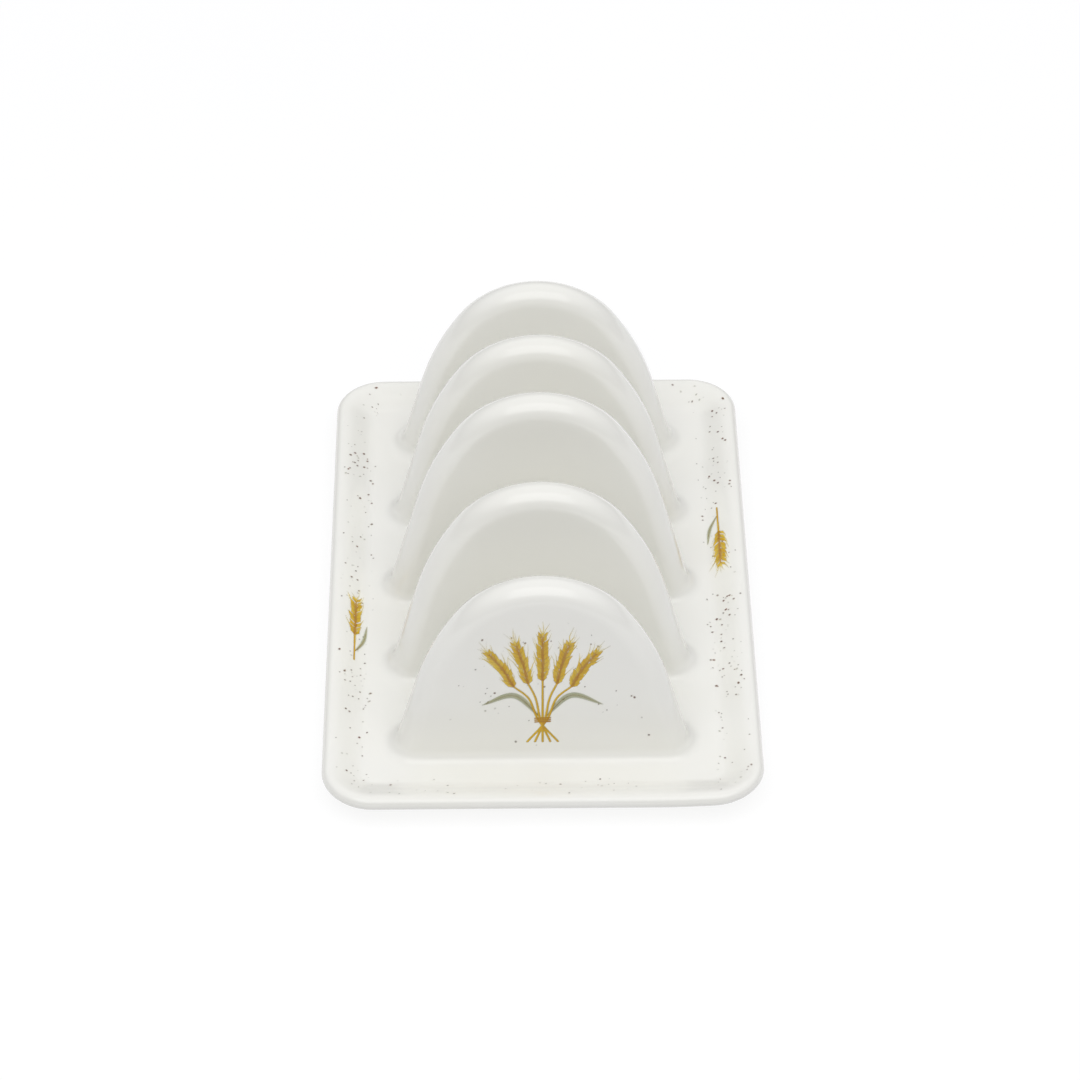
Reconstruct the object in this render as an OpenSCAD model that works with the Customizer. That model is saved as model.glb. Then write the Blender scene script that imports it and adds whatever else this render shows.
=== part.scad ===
// Toast rack: a shallow ceramic tray with five hollow arched dividers.
// Frame: origin at the centre of the resting face, X across the rack,
// Y along the row of dividers, Z up. The decorated end faces -Y.

/* [Tray] */
// Width of the tray, across the rack
tray_w = 110; // [104:1:120]
// Length of the tray, along the row of dividers
tray_l = 170; // [166:1:185]
// Radius of the tray's corners, seen from above
corner_r = 13; // [12.5:0.5:18]
// Thickness of the tray's floor
floor_t = 3.2; // [2.8:0.1:3.6]
// Radius of the half-round edge of the lip
edge_r = 1.8; // [1.5:0.1:2]
// Width of the lip, from the outer edge to the flat floor
lip_w = 11; // [9:0.5:11.5]
// Height of the lip's crown above the floor
lip_rise = 3.3; // [2.5:0.1:3.6]

/* [Foot] */
// Height of the foot ring under the floor
foot_h = 3; // [2.4:0.1:3.6]
// Width of the foot ring
foot_w = 3.4; // [3:0.1:4]
// Distance from the tray's edge to the foot ring
foot_inset = 12; // [10:0.5:12.5]
// Bevel on both lower edges of the foot ring
foot_bevel = 0.8; // [0.4:0.1:1]
// Radius of the foot ring's corners, seen from above
foot_corner_r = 9; // [6:0.5:12]

/* [Dividers] */
// Distance from one divider to the next
pitch = 30.2; // [29:0.1:31]
// Height of the middle divider above the tray's floor
middle_h = 63.2; // [61:0.1:65]
// Height of the two dividers beside the middle one
inner_h = 58.6; // [56:0.1:61]
// Height of the dividers at the ends
end_h = 53.7; // [52:0.1:56]
// Thickness of a divider at its crown, where the edge is a full round
crown_t = 9.2; // [8.8:0.1:9.8]
// Thickness of a divider at its foot
foot_t = 12.4; // [11.6:0.1:13]
// Thickness of a divider's wall around its hollow
wall_t = 3.3; // [3:0.1:3.6]
// Radius of the arch's crown
crown_r = 25.6; // [24:0.1:27]
// Half the angle that the crown spans
crown_angle = 54; // [52:1:56]
// Radius of the arch's shoulders
shoulder_r = 69; // [64:1:76]
// Angle from the top at which the straight legs begin
leg_angle = 74.7; // [73:0.1:76]
// Radius of the fillet around a divider's foot
fillet_r = 3.6; // [3:0.1:4]

/* [Transfers] */
// Thickness of a fired transfer
film_t = 0.06; // [0.05:0.01:0.1]
// Margin of bare glaze around the front transfer
front_margin = 7; // [6:0.5:10]
// Lowest line of the front transfer above the floor
front_base = 4; // [3.5:0.5:8]
// Distance from the tray's edge to the inner side of a border transfer
film_in = 12; // [11.8:0.1:12.2]

/* [Hidden] */
$fn = 96;

glaze_colour = "#f3f2ec";
bare_colour = "#e6dfd2";
print_colour = "#b08a66";

floor_z = foot_h + floor_t;
heights = [middle_h, inner_h, end_h];
divider_count = 5;
middle = (divider_count - 1) / 2;

lip_steps = 8;
lip_run = lip_w - edge_r;
edge_z = floor_z + lip_rise - edge_r;

round_r = crown_t / 2;
// Steps of half a turn around an arch's edge and around the edge of its hollow
edge_steps = 12;
hollow_steps = 6;
// Steps along the crown and along one shoulder
crown_steps = 10;
shoulder_steps = 5;
fillet_steps = 6;
shoulder_x = -(shoulder_r - crown_r) * sin(crown_angle);
// The fillet stops this far short of a feather edge
fillet_land = 0.15;
fillet_reach = fillet_r + fillet_land;
// How far a fillet runs into the wall that it is part of
fillet_root = 1;
// Room for cutting tools to run past a face
past = 1;

// Height of divider number i above the floor
function height(i) = heights[abs(i - middle)];

// Place of divider number i along the rack
function place(i) = (i - middle) * pitch;

// Distance from the tray's edge to step k of the lip's curve
function lip_u(k) = edge_r + lip_run * k / lip_steps;

// Height of the tray's upper side at step k of the lip's curve
function lip_top(k) = floor_z + lip_rise * (1 + cos(180 * k / lip_steps)) / 2;

// Thickness of the lip at step k of its curve
function lip_t(k) = 2 * edge_r + (floor_t - 2 * edge_r) * k / lip_steps;

// Half the thickness of a divider of height h at height z
function half_t(h, z) = foot_t / 2 + (crown_t - foot_t) / 2 * z / h;

// The arch's outline is a crown, two shoulders and two straight legs. Moved inwards
// by inset, these are the centres of its arcs and the ends of its legs
function crown_z(h) = h - crown_r;
function shoulder_z(h) = crown_z(h) - (shoulder_r - crown_r) * cos(crown_angle);
function leg_top(h, inset) = [shoulder_x + (shoulder_r - inset) * sin(leg_angle),
                              shoulder_z(h) + (shoulder_r - inset) * cos(leg_angle)];
function leg_x(h, inset, z) = leg_top(h, inset)[0] + (leg_top(h, inset)[1] - z) / tan(leg_angle);

// Points on the +X half of the moved outline, from the top down to height z_low
function half_outline(h, inset, z_low) = concat(
    [for (k = [0 : crown_steps]) let (a = crown_angle * k / crown_steps)
        [0, crown_z(h)] + (crown_r - inset) * [sin(a), cos(a)]],
    [for (k = [1 : shoulder_steps])
        let (a = crown_angle + (leg_angle - crown_angle) * k / shoulder_steps)
        [shoulder_x, shoulder_z(h)] + (shoulder_r - inset) * [sin(a), cos(a)]],
    [[leg_x(h, inset, z_low), z_low]]
);

// The whole moved outline, clockwise from the top
function outline(h, inset, z_low) = let (half = half_outline(h, inset, z_low))
    concat(half, [for (k = [len(half) - 1 : -1 : 1]) [-half[k][0], half[k][1]]]);

// A half disc whose round side faces +X
module half_disc(r) {
    intersection() {
        circle(r);
        translate([0, -r]) square([r, 2 * r]);
    }
}

// One corner of a frame of size [w, l] with corner radius r. The children are
// its section: X is the distance from the corner's centre and Y is the height
module frame_corner(w, l, r) {
    translate([w / 2 - r, l / 2 - r, 0]) rotate_extrude(angle = 90) children();
}

// The straight side of the same frame on +X
module frame_side(w, l, r) {
    translate([w / 2 - r, 0, 0])
        rotate([90, 0, 0])
        linear_extrude(l - 2 * r, center = true) children();
}

// The straight side of the same frame on +Y
module frame_end(w, l, r) {
    translate([0, l / 2 - r, 0])
        rotate([90, 0, 90])
        linear_extrude(w - 2 * r, center = true) children();
}

// The whole frame
module frame(w, l, r) {
    for (across = [0, 1]) mirror([across, 0, 0]) {
        frame_side(w, l, r) children();
        for (along = [0, 1]) mirror([0, along, 0]) frame_corner(w, l, r) children();
    }
    for (along = [0, 1]) mirror([0, along, 0]) frame_end(w, l, r) children();
}

// A rectangle with round corners
module rounded_plate(w, l, r) {
    square([w - 2 * r, l], center = true);
    square([w, l - 2 * r], center = true);
    for (x = [-1, 1], y = [-1, 1])
        translate([x * (w / 2 - r), y * (l / 2 - r)]) circle(r);
}

// Section of the lip: a half-round edge that sweeps down to the floor
module lip_section() {
    translate([corner_r - edge_r, edge_z]) half_disc(edge_r);
    polygon(concat(
        [for (k = [0 : lip_steps]) [corner_r - lip_u(k), lip_top(k)]],
        [for (k = [lip_steps : -1 : 0]) [corner_r - lip_u(k), lip_top(k) - lip_t(k)]]
    ));
}

// Section of the foot ring
module foot_section() {
    outer = foot_corner_r;
    inner = outer - foot_w;
    polygon([
        [outer, foot_h], [outer, foot_bevel], [outer - foot_bevel, 0],
        [inner + foot_bevel, 0], [inner, foot_bevel], [inner, foot_h]
    ]);
}

// An arch that stands on height z_low. Its outline is moved inwards by inset, its
// edge is rounded over a depth of r in a number of steps, and its faces lie less
// deep than a divider's by less
module arch(h, inset, r, less, z_low, steps) {
    rings = [for (j = [0 : steps]) let (a = 180 * j / steps - 90)
        [for (p = outline(h, inset + r * (1 - cos(a)), z_low))
            [p[0], sin(a) * (half_t(h, p[1]) - less), p[1]]]];
    n = len(rings[0]);
    points = [for (ring = rings) each ring];
    near_face = [for (k = [0 : n - 1]) k];
    far_face = [for (k = [n - 1 : -1 : 0]) steps * n + k];
    edge_faces = [for (j = [0 : steps - 1], k = [0 : n - 1])
        let (a = j * n, b = a + n, next = (k + 1) % n)
        each [[a + k, b + k, b + next], [a + k, b + next, a + next]]];
    polyhedron(points, concat([near_face, far_face], edge_faces));
}

// The hollow inside divider number i, which opens through the tray's underside
module hollow(i) {
    arch(height(i), wall_t, round_r - wall_t, wall_t, -floor_t - past, hollow_steps);
}

// Section of the fillet around a divider's foot
module fillet_section() {
    arc = [for (k = [0 : fillet_steps]) let (a = 90 * k / fillet_steps)
        [foot_t / 2 + fillet_reach - fillet_r * sin(a), fillet_reach - fillet_r * cos(a)]];
    polygon(concat(arc, [
        [foot_t / 2 - fillet_root, fillet_reach],
        [foot_t / 2 - fillet_root, 0],
        [foot_t / 2 + fillet_reach, 0]
    ]));
}

// The fillet around the foot of a divider of height h
module foot_fillet(h) {
    end_x = leg_x(h, foot_t / 2, 0);
    for (across = [0, 1]) mirror([across, 0, 0])
        translate([end_x, 0, 0])
        rotate_extrude(angle = 180, start = -90) fillet_section();
    for (along = [0, 1]) mirror([0, along, 0])
        rotate([90, 0, 90])
        linear_extrude(2 * end_x, center = true) fillet_section();
}

// Section of a border transfer, which lies on the lip and the floor
module border_film_section() {
    curve = [for (k = [1 : lip_steps]) [corner_r - lip_u(k), lip_top(k)]];
    under = concat(curve, [[corner_r - film_in, floor_z]]);
    last = len(under) - 1;
    polygon(concat(under, [for (k = [last : -1 : 0]) under[k] + [0, film_t]]));
}

module tray() color(glaze_colour) {
    difference() {
        union() {
            frame(tray_w, tray_l, corner_r) lip_section();
            translate([0, 0, foot_h])
                linear_extrude(floor_t)
                rounded_plate(tray_w - 2 * lip_w, tray_l - 2 * lip_w, corner_r - lip_w);
        }
        for (i = [0 : divider_count - 1])
            translate([0, place(i), floor_z]) hollow(i);
    }
}

module foot_ring() color(bare_colour) {
    frame(tray_w - 2 * foot_inset, tray_l - 2 * foot_inset, foot_corner_r) foot_section();
}

module divider(i) color(glaze_colour) {
    translate([0, place(i), floor_z]) difference() {
        union() {
            arch(height(i), 0, round_r, 0, 0, edge_steps);
            foot_fillet(height(i));
        }
        hollow(i);
    }
}

module front_transfer() color(print_colour) {
    lean = atan((foot_t - crown_t) / 2 / end_h);
    translate([0, place(0) - foot_t / 2, floor_z])
        rotate([90 - lean, 0, 0])
        linear_extrude(film_t) polygon(outline(end_h, front_margin, front_base));
}

// A long border transfer: side is 0 for +X and 1 for -X
module long_border_transfer(side) color(print_colour) {
    mirror([side, 0, 0]) frame_side(tray_w, tray_l, corner_r) border_film_section();
}

// A short border transfer: end is 0 for +Y and 1 for -Y
module short_border_transfer(end) color(print_colour) {
    mirror([0, end, 0]) frame_end(tray_w, tray_l, corner_r) border_film_section();
}

tray();
foot_ring();
divider(0);  // divider_1
divider(1);  // divider_2
divider(2);  // divider_3
divider(3);  // divider_4
divider(4);  // divider_5
front_transfer();
long_border_transfer(1);  // left_border_transfer
long_border_transfer(0);  // right_border_transfer
short_border_transfer(1);  // near_border_transfer
short_border_transfer(0);  // far_border_transfer
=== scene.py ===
"""Looks of a ceramic toast rack: glazed tray and dividers, a bare foot and fired-on print."""

import math

import bmesh
import bpy
import numpy as np
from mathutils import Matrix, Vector


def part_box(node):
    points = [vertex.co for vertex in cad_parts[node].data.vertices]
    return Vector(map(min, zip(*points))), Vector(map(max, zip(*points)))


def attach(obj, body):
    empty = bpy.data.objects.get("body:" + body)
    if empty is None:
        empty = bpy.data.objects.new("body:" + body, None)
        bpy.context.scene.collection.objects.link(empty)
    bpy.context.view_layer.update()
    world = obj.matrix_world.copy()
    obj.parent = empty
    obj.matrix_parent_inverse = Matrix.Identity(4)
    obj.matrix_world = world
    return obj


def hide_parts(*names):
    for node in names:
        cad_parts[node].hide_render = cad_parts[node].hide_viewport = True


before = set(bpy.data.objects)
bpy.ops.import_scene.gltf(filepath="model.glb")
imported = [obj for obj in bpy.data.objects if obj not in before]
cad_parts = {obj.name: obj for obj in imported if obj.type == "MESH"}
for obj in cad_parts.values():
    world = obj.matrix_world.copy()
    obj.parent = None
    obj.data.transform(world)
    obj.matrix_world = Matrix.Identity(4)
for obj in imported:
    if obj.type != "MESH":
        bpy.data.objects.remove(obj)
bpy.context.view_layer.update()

# Everything below is worked out in millimetres and becomes metres in make_object
MM = 0.001

DIVIDERS = ["divider_1", "divider_2", "divider_3", "divider_4", "divider_5"]


def node_box(name):
    """Lowest and highest corner of a CAD node, in millimetres."""
    low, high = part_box(name)
    return np.array(low) / MM, np.array(high) / MM


# Sizes that the frame gives
TRAY_HIGH = node_box("tray")[1]
HALF_W, HALF_L = TRAY_HIGH[0], TRAY_HIGH[1]
FLOOR_Z = node_box("divider_3")[0][2]
UNDERSIDE_Z = node_box("foot_ring")[1][2]
FOOT_HALF_W, FOOT_HALF_L = node_box("foot_ring")[1][:2]
RIM_Z = TRAY_HIGH[2]

# Sizes of the tray's section
CORNER_R = 13.0
EDGE_R = 1.8
LIP_W = 11.0
FOOT_W = 3.4
FOOT_CORNER_R = 9.0
FOOT_ROUND = 0.8

# Sizes of a divider's arch
CROWN_R = 25.6
CROWN_ANGLE = math.radians(54)
SHOULDER_R = 69.0
LEG_ANGLE = math.radians(74.7)
CROWN_T = 9.2
FOOT_T = 12.4
WALL_T = 3.3
FILLET_REACH = 4.4
FILLET_HIGH = 3.8
BURIED = 0.5


# ---------------------------------------------------------------- mesh helpers


def make_object(name, points, faces, sharp_loops=(), weld=True):
    """An object from points in millimetres. sharp_loops are closed loops of point numbers."""
    mesh = bpy.data.meshes.new(name)
    mesh.from_pydata((np.asarray(points, float) * MM).tolist(), [], faces)
    mesh.update()
    obj = bpy.data.objects.new(name, mesh)
    bpy.context.scene.collection.objects.link(obj)
    shell = bmesh.new()
    shell.from_mesh(mesh)
    shell.verts.ensure_lookup_table()
    for loop in sharp_loops:
        for a, b in zip(loop, list(loop[1:]) + [loop[0]]):
            edge = shell.edges.get((shell.verts[a], shell.verts[b]))
            if edge:
                edge.smooth = False
    if weld:
        bmesh.ops.remove_doubles(shell, verts=shell.verts, dist=1e-4 * MM)
    bmesh.ops.recalc_face_normals(shell, faces=shell.faces)
    shell.to_mesh(mesh)
    shell.free()
    mesh.polygons.foreach_set("use_smooth", [True] * len(mesh.polygons))
    return obj


def strip_faces(rows, count, first=0, closed=True):
    """Quads between rows of count points each, numbered from first."""
    last = count if closed else count - 1
    return [
        (first + r * count + k, first + r * count + (k + 1) % count,
         first + (r + 1) * count + (k + 1) % count, first + (r + 1) * count + k)
        for r in range(rows - 1) for k in range(last)
    ]


def smoothstep(t):
    t = np.clip(t, 0.0, 1.0)
    return t * t * (3 - 2 * t)


# ---------------------------------------------------------------- tray


def warp(x, y):
    """How far the fired tray has lifted at a place: its near right corner kicks up a little."""
    corner = smoothstep((x - 28) / 30) * smoothstep((-y - 62) / 26)
    side = 0.25 * smoothstep((np.abs(y) - 60) / 40) * smoothstep((np.abs(x) - 44) / 14)
    return 1.1 * corner + side


def rounded_loop(half_w, half_l, radius, corner_steps=18, side_steps=34):
    """Points around a rectangle with round corners, anticlockwise from +X."""
    points = []
    centres = [(1, 1), (-1, 1), (-1, -1), (1, -1)]
    for n, (sx, sy) in enumerate(centres):
        start = math.pi / 2 * n
        cx, cy = sx * (half_w - radius), sy * (half_l - radius)
        for k in range(corner_steps):
            a = start + math.pi / 2 * k / (corner_steps - 1)
            points.append((cx + radius * math.cos(a), cy + radius * math.sin(a)))
        nx, ny = centres[(n + 1) % 4]
        end = start + math.pi / 2
        here = points[-1]
        there = (nx * (half_w - radius) + radius * math.cos(end),
                 ny * (half_l - radius) + radius * math.sin(end))
        for k in range(1, side_steps):
            t = k / side_steps
            points.append((here[0] + (there[0] - here[0]) * t, here[1] + (there[1] - here[1]) * t))
    return np.array(points)


def lip_height(u):
    """Height of the tray's upper side at a distance u from its edge."""
    s = np.clip((np.asarray(u, float) - EDGE_R) / (LIP_W - EDGE_R), 0, 1)
    return FLOOR_Z + (RIM_Z - FLOOR_Z) * (1 + np.cos(np.pi * s)) / 2


def tray_rings():
    """The tray's skin as closed rings, from the middle of its top round to the middle below."""
    rings = []
    flat = np.linspace(1, 0, 14)
    inner_w, inner_l, inner_r = HALF_W - LIP_W, HALF_L - LIP_W, CORNER_R - LIP_W
    core_w, core_l, core_r = 0.6, 30.6, 0.4
    top_flat = [(inner_w * (1 - t) + core_w * t, inner_l * (1 - t) + core_l * t,
                 inner_r * (1 - t) + core_r * t) for t in flat]
    for w, l, r in top_flat:
        rings.append((w, l, r, FLOOR_Z))
    lip_u = np.linspace(LIP_W, EDGE_R, 29)
    for u in lip_u[1:]:
        rings.append((HALF_W - u, HALF_L - u, CORNER_R - u, float(lip_height(u))))
    edge_z = RIM_Z - EDGE_R
    for a in np.linspace(90, -90, 19)[1:]:
        u = EDGE_R * (1 - math.cos(math.radians(a)))
        z = edge_z + EDGE_R * math.sin(math.radians(a))
        rings.append((HALF_W - u, HALF_L - u, CORNER_R - u, z))
    below = edge_z - EDGE_R
    for u in lip_u[::-1][1:]:
        s = (u - EDGE_R) / (LIP_W - EDGE_R)
        z = UNDERSIDE_Z + (below - UNDERSIDE_Z) * (1 + math.cos(math.pi * s)) / 2
        rings.append((HALF_W - u, HALF_L - u, CORNER_R - u, z))
    for w, l, r in top_flat[::-1][1:]:
        rings.append((w, l, r, UNDERSIDE_Z))
    return rings


def make_tray():
    points, rings = [], tray_rings()
    for w, l, r, z in rings:
        loop = rounded_loop(w, l, r)
        height = z + warp(loop[:, 0], loop[:, 1])
        points.append(np.column_stack([loop, height]))
    count = len(points[0])
    faces = strip_faces(len(rings), count)
    faces.append(tuple(range(count)))
    faces.append(tuple(range((len(rings) - 1) * count, len(rings) * count))[::-1])
    return make_object("glazed_tray", np.vstack(points), faces)


# ---------------------------------------------------------------- dividers


# Points along the crown, and steps across a face and around its edge
CROWN_STEPS = 30
FACE_STEPS = 9
ROUND_STEPS = 20


def half_thickness(h, z):
    """Half the thickness of a divider of height h at height z above the floor."""
    return FOOT_T / 2 + (CROWN_T - FOOT_T) / 2 * z / h


def leg_foot(h, inset, z):
    """X of a straight leg of the outline at height z above the floor."""
    sx = -(SHOULDER_R - CROWN_R) * math.sin(CROWN_ANGLE)
    sz = h - CROWN_R - (SHOULDER_R - CROWN_R) * math.cos(CROWN_ANGLE)
    x = sx + (SHOULDER_R - inset) * math.sin(LEG_ANGLE)
    top = sz + (SHOULDER_R - inset) * math.cos(LEG_ANGLE)
    return x + (top - z) / math.tan(LEG_ANGLE)


def outline(h, inset, z_low, crown_steps=CROWN_STEPS, shoulder_steps=16, leg_steps=14):
    """The +X half of an arch's outline from the top down: places and inward directions."""
    sx = -(SHOULDER_R - CROWN_R) * math.sin(CROWN_ANGLE)
    sz = h - CROWN_R - (SHOULDER_R - CROWN_R) * math.cos(CROWN_ANGLE)
    places, turns = [], []
    for a in np.linspace(0, CROWN_ANGLE, crown_steps):
        places.append(((CROWN_R - inset) * math.sin(a), h - CROWN_R + (CROWN_R - inset) * math.cos(a)))
        turns.append(a)
    for a in np.linspace(CROWN_ANGLE, LEG_ANGLE, shoulder_steps)[1:]:
        places.append((sx + (SHOULDER_R - inset) * math.sin(a), sz + (SHOULDER_R - inset) * math.cos(a)))
        turns.append(a)
    top = places[-1][1]
    for z in np.linspace(top, z_low, leg_steps)[1:]:
        places.append((leg_foot(h, inset, z), z))
        turns.append(LEG_ANGLE + (math.pi / 2 - LEG_ANGLE) * float(smoothstep((top - z) / (top - z_low))))
    turns = np.array(turns)
    inward = np.column_stack([-np.sin(turns), -np.cos(turns)])
    return np.array(places), inward


def arch_shell(h, inset, depth, less, z_join, levels):
    """Points and faces of an arch's skin that is open below.

    depth is how deep the edge's rounding reaches, and less is how much thinner than a
    divider's the half thickness is. Below z_join the skin goes on as level loops: levels
    are their heights and how far each one is pushed outwards."""
    places, inward = outline(h, inset, z_join)

    def half(z):
        return half_thickness(h, z) - less

    crown_z = h - CROWN_R
    end_z = places[CROWN_STEPS - 1][1]
    columns = []
    for n, (place, turn) in enumerate(zip(places, inward)):
        spine_z = crown_z
        if n >= CROWN_STEPS:
            spine_z = z_join + (crown_z - z_join) * (place[1] - z_join) / (end_z - z_join)
        inner = place + turn * depth
        column = []
        for t in np.linspace(1, 0, FACE_STEPS, endpoint=False):
            x = inner[0] * (1 - t)
            z = inner[1] * (1 - t) + spine_z * t
            column.append((x, -half(z), z))
        for a in np.linspace(-math.pi / 2, math.pi / 2, ROUND_STEPS + 1):
            p = place + turn * depth * (1 - math.cos(a))
            column.append((p[0], half(p[1]) * math.sin(a), p[1]))
        for t in np.linspace(0, 1, FACE_STEPS + 1)[1:]:
            x = inner[0] * (1 - t)
            z = inner[1] * (1 - t) + spine_z * t
            column.append((x, half(z), z))
        columns.append(column)
    right = np.array(columns)
    left = right * [-1, 1, 1]
    rows, count = right.shape[:2]
    points = [right.reshape(-1, 3), left.reshape(-1, 3)]
    faces = strip_faces(rows, count, 0, closed=False)
    faces += [f[::-1] for f in strip_faces(rows, count, rows * count, closed=False)]
    # Level loops under the arch, starting with a copy of the arch's own lower edge
    loops = [level_loop(h, inset, depth, less, z, push) for z, push in levels]
    first = 2 * rows * count
    size = len(loops[0])
    faces += strip_faces(len(loops), size, first)
    return np.vstack(points + loops), faces, first, size


def level_loop(h, inset, depth, less, z, push):
    """A level section of an arch, pushed outwards: near face, +X end, far face, -X end."""
    a = leg_foot(h, inset, z)
    t = half_thickness(h, z) - less
    side, ways = [], []
    for k in np.linspace(1, 0, FACE_STEPS, endpoint=False):
        side.append(((a - depth) * (1 - k), -t))
        ways.append((0, -1))
    for turn in np.linspace(-math.pi / 2, math.pi / 2, ROUND_STEPS + 1):
        side.append((a - depth * (1 - math.cos(turn)), t * math.sin(turn)))
        way = np.array([t * math.cos(turn), depth * math.sin(turn)])
        ways.append(tuple(way / np.linalg.norm(way)))
    for k in np.linspace(0, 1, FACE_STEPS + 1)[1:]:
        side.append(((a - depth) * (1 - k), t))
        ways.append((0, 1))
    side = np.array(side) + np.array(ways) * push
    side[0, 0] = side[-1, 0] = 0
    other = (side * [-1, 1])[::-1][1:-1]
    loop = np.vstack([side, other])
    return np.column_stack([loop, np.full(len(loop), z)])


def fillet_levels(z_join):
    """Heights and outward pushes of the concave fillet at a divider's foot, which melts
    into the tray: its bend dies out towards the toe."""
    levels = [(z_join, 0.0)]
    for a in np.linspace(0, math.pi / 2, 19):
        push = 1 - math.cos(a) ** (2 / 3.2)
        rise = 1 - math.sin(a) ** (2 / 2.4)
        levels.append((FILLET_HIGH * rise, FILLET_REACH * push))
    levels.append((-BURIED, FILLET_REACH))
    return levels


def make_divider(node):
    low, high = node_box(node)
    h = high[2] - FLOOR_Z
    middle_y = (low[1] + high[1]) / 2
    z_join = FILLET_HIGH + 1.0
    levels = fillet_levels(z_join)
    points, faces, first, size = arch_shell(h, 0, CROWN_T / 2, 0, z_join, levels)
    inner_levels = [(z_join, 0.0), (2.0, 0.0), (-BURIED, 0.0)]
    inner = arch_shell(h, WALL_T, CROWN_T / 2 - WALL_T, WALL_T, z_join, inner_levels)
    shift = len(points)
    faces += [tuple(k + shift for k in f[::-1]) for f in inner[1]]
    outer_end = first + (len(levels) - 1) * size
    inner_end = shift + inner[2] + (len(inner_levels) - 1) * size
    for k in range(size):
        following = (k + 1) % size
        faces.append((outer_end + k, outer_end + following, inner_end + following, inner_end + k))
    toe = list(range(outer_end - size, outer_end))
    points = np.vstack([points, inner[0]]) + [0, middle_y, FLOOR_Z]
    return make_object("glazed_" + node, points, faces, [toe])


def cut_hollow(tray, node):
    """Opens the tray under a divider's hollow, with a softly flared mouth."""
    low, high = node_box(node)
    h = high[2] - FLOOR_Z
    middle_y = (low[1] + high[1]) / 2
    floor_t = FLOOR_Z - UNDERSIDE_Z
    flare, gap = 1.3, 0.03
    levels = [(1.0, gap), (-floor_t + flare, gap)]
    for a in np.linspace(0, math.pi / 2, 7)[1:]:
        levels.append((-floor_t + flare * (1 - math.sin(a)), gap + flare * (1 - math.cos(a))))
    levels.append((-floor_t - 1, gap + flare))
    loops = [level_loop(h, WALL_T, CROWN_T / 2 - WALL_T, WALL_T, z, push) for z, push in levels]
    size = len(loops[0])
    faces = strip_faces(len(loops), size)
    faces.append(tuple(range(size)))
    faces.append(tuple(range((len(loops) - 1) * size, len(loops) * size))[::-1])
    cutter = make_object("cutter", np.vstack(loops) + [0, middle_y, FLOOR_Z], faces)
    cut = tray.modifiers.new("hollow", "BOOLEAN")
    cut.operation = "DIFFERENCE"
    cut.solver = "EXACT"
    cut.object = cutter
    return cutter


def bake_modifiers(obj):
    """Replaces an object's mesh with the one its modifiers make."""
    graph = bpy.context.evaluated_depsgraph_get()
    mesh = bpy.data.meshes.new_from_object(obj.evaluated_get(graph))
    obj.modifiers.clear()
    obj.data = mesh


# ---------------------------------------------------------------- foot ring


def make_foot_ring():
    section = [(0, UNDERSIDE_Z + 0.3)]
    for a in np.linspace(0, 90, 7):
        section.append((FOOT_ROUND * (1 - math.cos(math.radians(a))),
                        FOOT_ROUND * (1 - math.sin(math.radians(a)))))
    section += [(FOOT_W - u, z) for u, z in section[::-1]]
    points = []
    for u, z in section:
        loop = rounded_loop(FOOT_HALF_W - u, FOOT_HALF_L - u, FOOT_CORNER_R - u)
        points.append(np.column_stack([loop, np.full(len(loop), z)]))
    count = len(points[0])
    rows = len(section)
    faces = strip_faces(rows, count)
    last = (rows - 1) * count
    for k in range(count):
        faces.append((last + k, last + (k + 1) % count, (k + 1) % count, k))
    return make_object("bare_foot_ring", np.vstack(points), faces)


# ---------------------------------------------------------------- print: ink


def srgb(*values):
    """Linear colour from the usual 0 to 255 values."""
    v = np.array(values, float) / 255
    return np.where(v <= 0.04045, v / 12.92, ((v + 0.055) / 1.055) ** 2.4)


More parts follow.
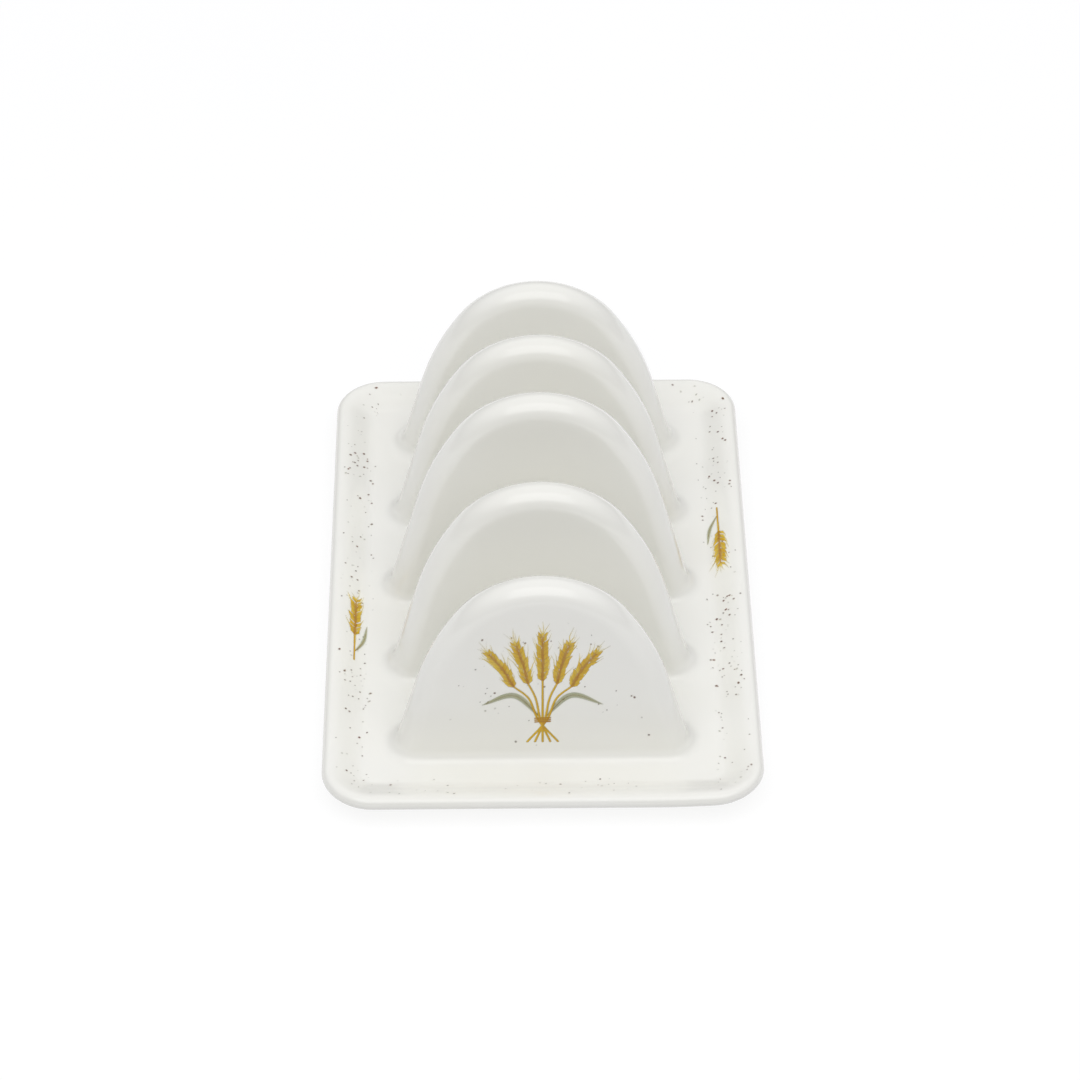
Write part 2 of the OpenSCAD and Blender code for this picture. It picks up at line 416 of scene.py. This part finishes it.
class Canvas:
    """Ink on a rectangle of glaze: colour and alpha, with places in millimetres."""

    def __init__(self, low, high, step=0.11):
        self.low, self.step = np.array(low, float), step
        columns, rows = np.ceil((np.array(high, float) - self.low) / step).astype(int) + 1
        self.colour = np.full((rows, columns, 3), 0.75)
        self.alpha = np.zeros((rows, columns))

    def window(self, low, high):
        """The part of the canvas between two corners, and the places in it."""
        limit = np.array(self.alpha.shape[::-1])
        start = np.clip(np.floor((low - self.low) / self.step).astype(int), 0, limit)
        stop = np.clip(np.ceil((high - self.low) / self.step).astype(int) + 1, 0, limit)
        part = (slice(start[1], stop[1]), slice(start[0], stop[0]))
        x = self.low[0] + np.arange(start[0], stop[0]) * self.step
        y = self.low[1] + np.arange(start[1], stop[1]) * self.step
        return part, *np.meshgrid(x, y)

    def lay(self, part, cover, ink):
        """Lays ink over what is there."""
        total = cover + self.alpha[part] * (1 - cover)
        share = (cover / np.maximum(total, 1e-6))[..., None]
        self.colour[part] += (ink - self.colour[part]) * share
        self.alpha[part] = total

    def stroke(self, points, widths, ink, cover=0.9, soft=0.12):
        """A brush stroke through points, with a width at each of them."""
        points, widths = np.asarray(points, float), np.asarray(widths, float)
        reach = widths.max() / 2 + soft
        part, x, y = self.window(points.min(0) - reach, points.max(0) + reach)
        depth = np.full(x.shape, -reach)
        for k in range(len(points) - 1):
            way = points[k + 1] - points[k]
            t = ((x - points[k, 0]) * way[0] + (y - points[k, 1]) * way[1]) / max(way @ way, 1e-9)
            t = np.clip(t, 0, 1)
            gap = np.hypot(x - points[k, 0] - t * way[0], y - points[k, 1] - t * way[1])
            depth = np.maximum(depth, (widths[k] + (widths[k + 1] - widths[k]) * t) / 2 - gap)
        self.lay(part, cover * smoothstep((depth + soft) / (2 * soft)), ink)

    def wash(self, centre, radii, turn, ink, cover=0.9, fade=0.4):
        """A wash in a turned ellipse that thins out over the outer share fade of it."""
        centre, reach = np.asarray(centre, float), max(radii)
        part, x, y = self.window(centre - reach, centre + reach)
        x, y = x - centre[0], y - centre[1]
        along = (x * math.cos(turn) + y * math.sin(turn)) / radii[0]
        across = (y * math.cos(turn) - x * math.sin(turn)) / radii[1]
        self.lay(part, cover * smoothstep((1 - np.hypot(along, across)) / fade), ink)

    def sample(self, places):
        """Colour and alpha at places, as rows of four numbers. Thin ink filters the white
        under it like a glaze, so it shows warmer and clearer than a mix with white would."""
        at = (np.asarray(places, float) - self.low) / self.step
        limit = np.array(self.alpha.shape[::-1]) - 2
        cell = np.clip(np.floor(at).astype(int), 0, limit)
        fx, fy = np.clip(at - cell, 0, 1).T[..., None]
        both = np.dstack([self.colour, self.alpha])
        x, y = cell.T
        near = both[y, x] * (1 - fx) + both[y, x + 1] * fx
        far = both[y + 1, x] * (1 - fx) + both[y + 1, x + 1] * fx
        ink = near * (1 - fy) + far * fy
        seen = np.clip(ink[:, :3], 0.004, 1) ** (ink[:, 3:] ** 1.6)
        alpha = 1 - seen.min(1, keepdims=True)
        colour = (seen - (1 - alpha)) / np.maximum(alpha, 0.02)
        return np.hstack([np.clip(colour, 0, 1), alpha])


def curve(points, steps=14):
    """A smooth line through points."""
    points = np.asarray(points, float)
    ends = np.vstack([2 * points[0] - points[1], points, 2 * points[-1] - points[-2]])
    line = []
    for a, b, c, d in zip(ends, ends[1:], ends[2:], ends[3:]):
        for t in np.linspace(0, 1, steps, endpoint=False):
            line.append(0.5 * (2 * b + (c - a) * t + (2 * a - 5 * b + 4 * c - d) * t ** 2
                               + (3 * b - a - 3 * c + d) * t ** 3))
    return np.array(line + [points[-1]])


def turned(way, angle):
    c, s = math.cos(angle), math.sin(angle)
    return np.array([way[0] * c - way[1] * s, way[0] * s + way[1] * c])


GOLD_DARK = srgb(168, 112, 52)
GOLD = srgb(226, 186, 84)
GOLD_PALE = srgb(247, 222, 140)
SAGE = srgb(172, 176, 146)
SPECK_DARK = srgb(96, 58, 50)
SPECK_PALE = srgb(158, 156, 134)


def mixed(a, b, t):
    return a + (b - a) * min(max(t, 0), 1)


def awn(canvas, rng, root, way, long):
    """A thin bristle of an ear of wheat, which bends a little."""
    tip = root + way * long + turned(way, math.pi / 2) * long * rng.normal(0, 0.12)
    middle = root + way * long * 0.5
    canvas.stroke([root, middle, tip], [0.24, 0.17, 0.05], mixed(GOLD, GOLD_PALE, rng.random()),
                  rng.uniform(0.45, 0.8))


def ear(canvas, rng, points, pairs, grain=2.5):
    """An ear of wheat from its base to its tip, with a row of grains on each side."""
    line = curve(points, 20)
    canvas.stroke(line, np.linspace(0.55, 0.25, len(line)), GOLD_DARK, 0.7)
    spots = np.linspace(0, len(line) - 2, pairs).astype(int)
    for n, k in enumerate(spots[::-1]):
        way = line[k + 1] - line[k]
        way /= np.linalg.norm(way)
        size = grain * (0.62 + 0.45 * math.sin(math.pi * (n + 1) / (pairs + 2)))
        for side in (1, -1):
            lean = turned(way, side * rng.uniform(0.32, 0.62))
            root = line[k] + turned(way, side * math.pi / 2) * rng.uniform(0.15, 0.35)
            tip = root + lean * size
            belly = root + lean * size * 0.42
            if rng.random() < 0.55:
                awn(canvas, rng, tip, turned(way, side * rng.uniform(0.15, 0.5)),
                    size * rng.uniform(0.5, 1.6))
            canvas.stroke([root, belly, tip], [0.35, size * 0.46, 0.14], GOLD_DARK,
                          rng.uniform(0.4, 0.8), 0.14)
            ink = mixed(GOLD, GOLD_PALE, rng.uniform(0, 1))
            shift = turned(lean, side * math.pi / 2) * 0.10
            canvas.stroke([root + lean * 0.25 + shift, belly + lean * 0.1 + shift, tip - lean * 0.1],
                          [0.2, size * 0.36, 0.10], ink, 0.92, 0.14)
            canvas.stroke([belly - lean * 0.5, belly + lean * size * 0.35], [0.13, 0.04],
                          mixed(GOLD_DARK, GOLD, rng.random()), 0.5, 0.09)
    end, last = line[-1], line[-1] - line[-3]
    for angle in (-0.35, -0.1, 0.12, 0.3):
        awn(canvas, rng, end, turned(last / np.linalg.norm(last), angle), grain * rng.uniform(0.9, 2.2))


def stalk(canvas, points, widths, ink, shade, cover=0.9):
    """A stem with a shaded side."""
    line = curve(points)
    wide = np.interp(np.linspace(0, 1, len(line)), np.linspace(0, 1, len(widths)), widths)
    canvas.stroke(line, wide, ink, cover)
    canvas.stroke(line + [wide.max() * 0.2, -wide.max() * 0.25], wide * 0.35, shade, cover * 0.7, 0.08)


def leaf(canvas, points, wide):
    """A long narrow leaf that tapers to both ends, with a darker midrib."""
    line = curve(points)
    along = np.linspace(0, math.pi, len(line))
    canvas.stroke(line, wide * np.sin(along) ** 0.8 + 0.08, SAGE, 0.6)
    canvas.stroke(line, np.linspace(0.22, 0.06, len(line)), GOLD_DARK, 0.5, 0.08)


def specks(canvas, rng, low, high, count, groups=5):
    """Sprinkled ink: single specks, and loose groups of them."""
    low, high = np.array(low, float), np.array(high, float)
    hubs = rng.uniform(low, high, (groups, 2))
    for _ in range(count):
        place = rng.uniform(low, high)
        if rng.random() < 0.5:
            place = hubs[rng.integers(groups)] + rng.normal(0, 1, 2) * np.minimum((high - low) * 0.3, 5)
        if (place < low).any() or (place > high).any():
            continue
        size = 0.20 + 0.24 * rng.random() ** 2
        dark = rng.random() < 0.6
        ink = mixed(SPECK_DARK, SPECK_PALE, rng.uniform(0, 0.25) if dark else rng.uniform(0.6, 1))
        cover = rng.uniform(0.65, 1) if dark else rng.uniform(0.25, 0.6)
        canvas.wash(place, (size * rng.uniform(1, 1.4), size), rng.uniform(0, 3), ink, cover, 0.8)


# ---------------------------------------------------------------- print: films

# How far a film stands above the glaze and reaches below its own upper side
FILM_ABOVE = 0.055
FILM_BELOW = 0.15
# Heights above the floor, and the margin from the arch's outline, of the front film
FRONT_MARGIN = 7.0
FRONT_BASE = 4.0
FRONT_TOP = 45.0
TIE_Z = 13.0
# Distances from the tray's edge between which a border film lies
FILM_START = 2.1
FILM_IN = 12.0


def make_film(name, top, normals, places, canvas, skip):
    """A closed film. top is a grid of places on its upper side, and places says where each
    lies on the canvas. Its lower side has every skip-th column only."""
    rows, count = top.shape[:2]
    kept = np.unique(np.append(np.arange(0, count, skip), count - 1))
    under = (top - normals * FILM_BELOW)[:, kept]
    first = rows * count
    few = len(kept)
    faces = strip_faces(rows, count, 0, closed=False)
    faces += [f[::-1] for f in strip_faces(rows, few, first, closed=False)]
    for r in range(rows - 1):
        a, b = r * count, first + r * few
        faces.append((a, b, b + few, a + count))
        faces.append((a + count - 1, a + 2 * count - 1, b + 2 * few - 1, b + few - 1))
    for r in (0, rows - 1):
        upper = [r * count + k for k in range(count)]
        lower = [first + r * few + k for k in range(few)]
        faces.append(tuple(upper + lower[::-1]))
    points = np.vstack([top.reshape(-1, 3), under.reshape(-1, 3)])
    film = make_object(name, points, faces, weld=False)
    ink = np.zeros((len(points), 4))
    ink[:, :3] = 0.75
    ink[:first] = canvas.sample(places.reshape(-1, 2))
    layer = film.data.attributes.new("ink", "FLOAT_COLOR", "POINT")
    layer.data.foreach_set("color", ink.ravel())
    return film


def paint_front():
    """A sheaf: five ears of wheat that fan out evenly above a tie, with two leaves."""
    rng = np.random.default_rng(41)
    canvas = Canvas((-37, FRONT_BASE - 1), (37, FRONT_TOP + 1))
    specks(canvas, rng, (-30, FRONT_BASE), (31, FRONT_TOP), 95, 7)
    for side in (-1, 1):
        leaf(canvas, [(side * 0.6, TIE_Z + 1), (side * 7, TIE_Z + 8), (side * 15, TIE_Z + 5)], 1.7)
    for place in (-2, 2, -1, 1, 0):
        base = (place * 3.6, 26.0 - abs(place))
        tip = (place * 6.6, 40.0 - 2.8 * abs(place))
        stalk(canvas, [(-place * 1.9, 6.0), (place * 0.5, TIE_Z), (place * 1.7, 20.0), base],
              [0.5, 0.55, 0.5, 0.45], GOLD, GOLD_DARK)
        middle = ((base[0] + tip[0]) / 2 - place * 0.3, (base[1] + tip[1]) / 2)
        ear(canvas, rng, [base, middle, tip], 11)
    for k in range(3):
        canvas.stroke([(-1.9, TIE_Z - 0.6 + 0.6 * k), (1.9, TIE_Z - 0.4 + 0.6 * k)], [0.35, 0.35],
                      GOLD_DARK, 0.9)
    return canvas


def make_front_film():
    node = "divider_1"
    low, high = node_box(node)
    h = high[2] - FLOOR_Z
    heights = np.linspace(FRONT_BASE, FRONT_TOP, 216)
    # Half the width of the outline moved inwards by the margin, at each height
    edge, _ = outline(h, FRONT_MARGIN, 0.0, 90, 30, 30)
    half = np.interp(heights, edge[::-1, 1], edge[::-1, 0])
    x = half[:, None] * np.linspace(-1, 1, 330)
    z = np.repeat(heights[:, None], x.shape[1], 1)
    face_y = (low[1] + high[1]) / 2 - half_thickness(h, z)
    top = np.dstack([x, face_y - FILM_ABOVE, z + FLOOR_Z])
    normals = np.zeros_like(top)
    normals[..., 1] = -1
    return make_film("print_front", top, normals, np.dstack([x, z]), paint_front(), x.shape[1])


def film_profile(count):
    """Distances from the tray's edge across a border film, and its upper side's slope."""
    u = np.linspace(FILM_START, FILM_IN, count)
    slope = np.gradient(lip_height(u), u)
    return u, slope


def place_film(centre_x, centre_y, way_x, way_y, u, slope):
    """Grid of places and normals of a border film. way is the outward direction at a row."""
    r = CORNER_R - u[None, :]
    x = centre_x[:, None] + way_x[:, None] * r
    y = centre_y[:, None] + way_y[:, None] * r
    steep = np.hypot(1, slope)[None, :]
    normals = np.dstack([way_x[:, None] * slope / steep, way_y[:, None] * slope / steep,
                         1 / steep * np.ones_like(x)])
    top = np.dstack([x, y, lip_height(u)[None, :] + warp(x, y)]) + normals * FILM_ABOVE
    return top, normals


def make_side_film(name, side, canvas):
    """A long border film with its corners. side is 1 on +X and -1 on -X. On the canvas, X
    runs along the border from its near corner, and Y is the distance from the tray's edge."""
    u, slope = film_profile(52)
    straight = HALF_L - CORNER_R
    turn_steps = 60
    turn = np.radians(np.linspace(0, 90, turn_steps))
    middle_r = CORNER_R - FILM_IN / 2
    run = np.linspace(-straight, straight, 700)[1:-1]
    centre_y = np.concatenate([np.full(turn_steps, -straight), run, np.full(turn_steps, straight)])
    angle = np.concatenate([turn - math.pi / 2, np.zeros(len(run)), turn])
    along = np.concatenate([turn * middle_r, run + straight + middle_r * math.pi / 2,
                            2 * straight + middle_r * (math.pi / 2 + turn)])
    centre_x = np.full(len(angle), side * (HALF_W - CORNER_R))
    top, normals = place_film(centre_x, centre_y, side * np.cos(angle), np.sin(angle), u, slope)
    places = np.dstack([np.repeat(along[:, None], len(u), 1), np.repeat(u[None, :], len(along), 0)])
    return make_film(name, top, normals, places, canvas, 4)


def make_end_film(name, end, canvas):
    """A short border film. end is 1 on +Y and -1 on -Y."""
    u, slope = film_profile(48)
    x = np.linspace(-(HALF_W - CORNER_R), HALF_W - CORNER_R, 380)
    centre_y = np.full(len(x), end * (HALF_L - CORNER_R))
    top, normals = place_film(x, centre_y, np.zeros(len(x)), np.full(len(x), float(end)), u, slope)
    places = np.dstack([np.repeat(x[:, None], len(u), 1), np.repeat(u[None, :], len(x), 0)])
    return make_film(name, top, normals, places, canvas, 4)


def side_canvas(seed, y, way, count):
    """The print of a long border: specks, and one ear of wheat around y on a straight stem.
    way is 1 or -1, towards its tip."""
    rng = np.random.default_rng(seed)
    middle_r = CORNER_R - FILM_IN / 2
    length = 2 * (HALF_L - CORNER_R) + middle_r * math.pi
    canvas = Canvas((-1, 0), (length + 1, FILM_IN + 1))
    specks(canvas, rng, (0, FILM_START + 0.5), (length, FILM_IN - 0.4), count, 9)
    centre = y + length / 2
    across = FILM_START + (FILM_IN - FILM_START) / 2
    leaf(canvas, [(centre - way * 11, across), (centre - way * 6, across + 2.2),
                  (centre, across + 3.0)], 0.9)
    stalk(canvas, [(centre - way * 14, across), (centre - way * 4, across)], [0.35, 0.5],
          GOLD, GOLD_DARK)
    ear(canvas, rng, [(centre - way * 4, across), (centre + way * 3, across),
                      (centre + way * 9, across)], 10, 2.4)
    return canvas


def end_canvas(seed, count):
    """The print of a short border: specks only."""
    rng = np.random.default_rng(seed)
    canvas = Canvas((-HALF_W, 0), (HALF_W, FILM_IN + 1))
    specks(canvas, rng, (-HALF_W + CORNER_R, FILM_START + 0.5), (HALF_W - CORNER_R, FILM_IN - 0.4),
           count, 4)
    return canvas


# ---------------------------------------------------------------- materials


def new_material(name):
    material = bpy.data.materials.new(name)
    material.use_nodes = True
    nodes, links = material.node_tree.nodes, material.node_tree.links
    shader = nodes["Principled BSDF"]
    place = nodes.new("ShaderNodeTexCoord").outputs["Object"]
    return material, nodes, links, shader, place


def noise(nodes, links, place, scale, detail=2.0, roughness=0.5):
    texture = nodes.new("ShaderNodeTexNoise")
    texture.inputs["Scale"].default_value = scale
    texture.inputs["Detail"].default_value = detail
    texture.inputs["Roughness"].default_value = roughness
    links.new(place, texture.inputs["Vector"])
    return texture.outputs["Fac"]


def ramp(nodes, links, fac, stops):
    """A colour ramp through (position, colour) stops."""
    node = nodes.new("ShaderNodeValToRGB")
    links.new(fac, node.inputs["Fac"])
    band = node.color_ramp
    while len(band.elements) < len(stops):
        band.elements.new(0.5)
    for element, (position, colour) in zip(band.elements, stops):
        element.position = position
        element.color = (*colour, 1)
    return node.outputs["Color"]


def bump(nodes, links, height, distance, strength, below=None):
    node = nodes.new("ShaderNodeBump")
    node.inputs["Distance"].default_value = distance * MM
    node.inputs["Strength"].default_value = strength
    links.new(height, node.inputs["Height"])
    if below is not None:
        links.new(below, node.inputs["Normal"])
    return node.outputs["Normal"]


GLAZE_WARM = (0.940, 0.934, 0.874)
GLAZE_COOL = (0.945, 0.941, 0.890)


def glaze_material():
    """Bone china under a clear glaze: creamy body, faint tone and waviness, high gloss."""
    material, nodes, links, shader, place = new_material("bone_china_glaze")
    tone = noise(nodes, links, place, 22, 3)
    links.new(ramp(nodes, links, tone, [(0.35, GLAZE_WARM), (0.65, GLAZE_COOL)]),
              shader.inputs["Base Color"])
    gloss = noise(nodes, links, place, 60, 4)
    rough = nodes.new("ShaderNodeMapRange")
    rough.inputs["To Min"].default_value = 0.10
    rough.inputs["To Max"].default_value = 0.20
    links.new(gloss, rough.inputs["Value"])
    links.new(rough.outputs["Result"], shader.inputs["Roughness"])
    swell = bump(nodes, links, noise(nodes, links, place, 45, 1), 0.25, 0.10)
    peel = bump(nodes, links, noise(nodes, links, place, 700, 2), 0.02, 0.08, swell)
    links.new(peel, shader.inputs["Normal"])
    shader.inputs["IOR"].default_value = 1.5
    shader.inputs["Coat Weight"].default_value = 0.35
    shader.inputs["Coat Roughness"].default_value = 0.04
    return material


def bare_material():
    """Unglazed fired clay on the foot's resting face, glaze above it."""
    material, nodes, links, shader, place = new_material("unglazed_foot")
    grain = noise(nodes, links, place, 1500, 6, 0.7)
    clay = ramp(nodes, links, grain, [(0.3, (0.66, 0.62, 0.55)), (0.7, (0.80, 0.77, 0.70))])
    axes = nodes.new("ShaderNodeSeparateXYZ")
    links.new(place, axes.inputs["Vector"])
    edge = noise(nodes, links, place, 260, 2)
    wander = nodes.new("ShaderNodeMath")
    wander.operation = "MULTIPLY_ADD"
    wander.inputs[1].default_value = 0.0005
    links.new(edge, wander.inputs[0])
    links.new(axes.outputs["Z"], wander.inputs[2])
    glazed = nodes.new("ShaderNodeMapRange")
    glazed.inputs["From Min"].default_value = 0.00095
    glazed.inputs["From Max"].default_value = 0.00110
    links.new(wander.outputs["Value"], glazed.inputs["Value"])
    mix = nodes.new("ShaderNodeMix")
    mix.data_type = "RGBA"
    links.new(glazed.outputs["Result"], mix.inputs["Factor"])
    links.new(clay, mix.inputs["A"])
    mix.inputs["B"].default_value = (*GLAZE_WARM, 1)
    links.new(mix.outputs["Result"], shader.inputs["Base Color"])
    rough = nodes.new("ShaderNodeMapRange")
    rough.inputs["To Min"].default_value = 0.85
    rough.inputs["To Max"].default_value = 0.15
    links.new(glazed.outputs["Result"], rough.inputs["Value"])
    links.new(rough.outputs["Result"], shader.inputs["Roughness"])
    links.new(bump(nodes, links, grain, 0.05, 0.5), shader.inputs["Normal"])
    return material


def print_material():
    """Ink that has sunk into the glaze: its colour and cover come from the film's paint."""
    material, nodes, links, shader, _ = new_material("fired_print")
    ink = nodes.new("ShaderNodeAttribute")
    ink.attribute_name = "ink"
    links.new(ink.outputs["Color"], shader.inputs["Base Color"])
    links.new(ink.outputs["Alpha"], shader.inputs["Alpha"])
    shader.inputs["Roughness"].default_value = 0.18
    shader.inputs["IOR"].default_value = 1.5
    return material


# ---------------------------------------------------------------- stage, camera, light

# Place in millimetres, direction and focal length of the camera
CAMERA_PLACE = (-9.345, -791.16, 685.79)
CAMERA_WAY = (0.00919, 0.76599, -0.64279)
LENS = 132.34

SKY_TINT = (0.975, 0.975, 1.0)
# Brightness of the studio at the sine of each height above the horizon. The first is for
# everything below it
SKY = [(-0.03, 0.74), (0.02, 0.24), (0.4, 0.34), (0.7, 0.93), (1.0, 0.84)]


def make_camera():
    data = bpy.data.cameras.new("camera")
    data.lens = LENS
    data.sensor_width = 36
    data.clip_start = 0.05
    data.clip_end = 20
    camera = bpy.data.objects.new("camera", data)
    bpy.context.scene.collection.objects.link(camera)
    camera.location = Vector(CAMERA_PLACE) * MM
    camera.rotation_mode = "QUATERNION"
    camera.rotation_quaternion = Vector(CAMERA_WAY).to_track_quat("-Z", "Y")
    bpy.context.scene.camera = camera


def make_softbox(name, place, target, size, power):
    data = bpy.data.lights.new(name, "AREA")
    data.shape = "RECTANGLE"
    data.size, data.size_y = size
    data.energy = power
    light = bpy.data.objects.new(name, data)
    bpy.context.scene.collection.objects.link(light)
    light.location = place
    light.rotation_mode = "QUATERNION"
    light.rotation_quaternion = (Vector(target) - Vector(place)).to_track_quat("-Z", "Y")


def make_world():
    """A white studio: brightest overhead and dimmer towards the horizon. Below it is the
    soft light that comes back from the table."""
    world = bpy.data.worlds.new("studio")
    world.use_nodes = True
    nodes, links = world.node_tree.nodes, world.node_tree.links
    axes = nodes.new("ShaderNodeSeparateXYZ")
    links.new(nodes.new("ShaderNodeTexCoord").outputs["Generated"], axes.inputs["Vector"])
    height = nodes.new("ShaderNodeMapRange")
    height.inputs["From Min"].default_value = -1
    links.new(axes.outputs["Z"], height.inputs["Value"])
    stops = [((1 + z) / 2, np.array(SKY_TINT) * light) for z, light in SKY]
    sky = ramp(nodes, links, height.outputs["Result"], stops)
    links.new(sky, nodes["Background"].inputs["Color"])
    bpy.context.scene.world = world


def make_stage():
    half = 6.0
    mesh = bpy.data.meshes.new("floor")
    mesh.from_pydata([(-half, -half, 0), (half, -half, 0), (half, half, 0), (-half, half, 0)], [],
                     [(0, 1, 2, 3)])
    floor = bpy.data.objects.new("floor", mesh)
    bpy.context.scene.collection.objects.link(floor)
    material, nodes, links, shader, place = new_material("studio_floor")
    tone = ramp(nodes, links, noise(nodes, links, place, 3), [(0.3, (0.30,) * 3), (0.7, (0.31,) * 3)])
    links.new(tone, shader.inputs["Base Color"])
    shader.inputs["Roughness"].default_value = 1.0
    shader.inputs["Specular IOR Level"].default_value = 0.0
    shader.inputs["Emission Color"].default_value = (1, 1, 1, 1)
    shader.inputs["Emission Strength"].default_value = 0.73
    floor.data.materials.append(material)
    # The sky's lower half stands for the light from the table, so the floor adds none
    floor.visible_diffuse = False
    make_world()
    make_softbox("high_front", (0.0, -0.75, 1.45), (0, 0, 0.03), (1.8, 1.4), 8.6)
    bpy.context.scene.view_settings.view_transform = "Standard"
    bpy.context.scene.view_settings.look = "None"


# ---------------------------------------------------------------- build

make_camera()
make_stage()

glaze = glaze_material()
bare = bare_material()

tray = make_tray()
cutters = [cut_hollow(tray, node) for node in DIVIDERS]
bake_modifiers(tray)
tray.data.set_sharp_from_angle(angle=math.radians(40))
for cutter in cutters:
    bpy.data.objects.remove(cutter)
tray.data.materials.clear()
tray.data.materials.append(glaze)
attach(tray, "root")
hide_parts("tray")

for node in DIVIDERS:
    divider = make_divider(node)
    divider.data.materials.append(glaze)
    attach(divider, "root")
    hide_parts(node)

ring = make_foot_ring()
ring.data.materials.append(bare)
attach(ring, "root")
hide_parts("foot_ring")

fired_print = print_material()
films = [
    (make_front_film(), "front_transfer"),
    (make_side_film("print_left_border", -1, side_canvas(7, -16, 1, 190)), "left_border_transfer"),
    (make_side_film("print_right_border", 1, side_canvas(19, 16, -1, 200)), "right_border_transfer"),
    (make_end_film("print_near_border", -1, end_canvas(23, 44)), "near_border_transfer"),
    (make_end_film("print_far_border", 1, end_canvas(31, 9)), "far_border_transfer"),
]
for film, node in films:
    film.data.materials.append(fired_print)
    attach(film, "root")
    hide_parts(node)
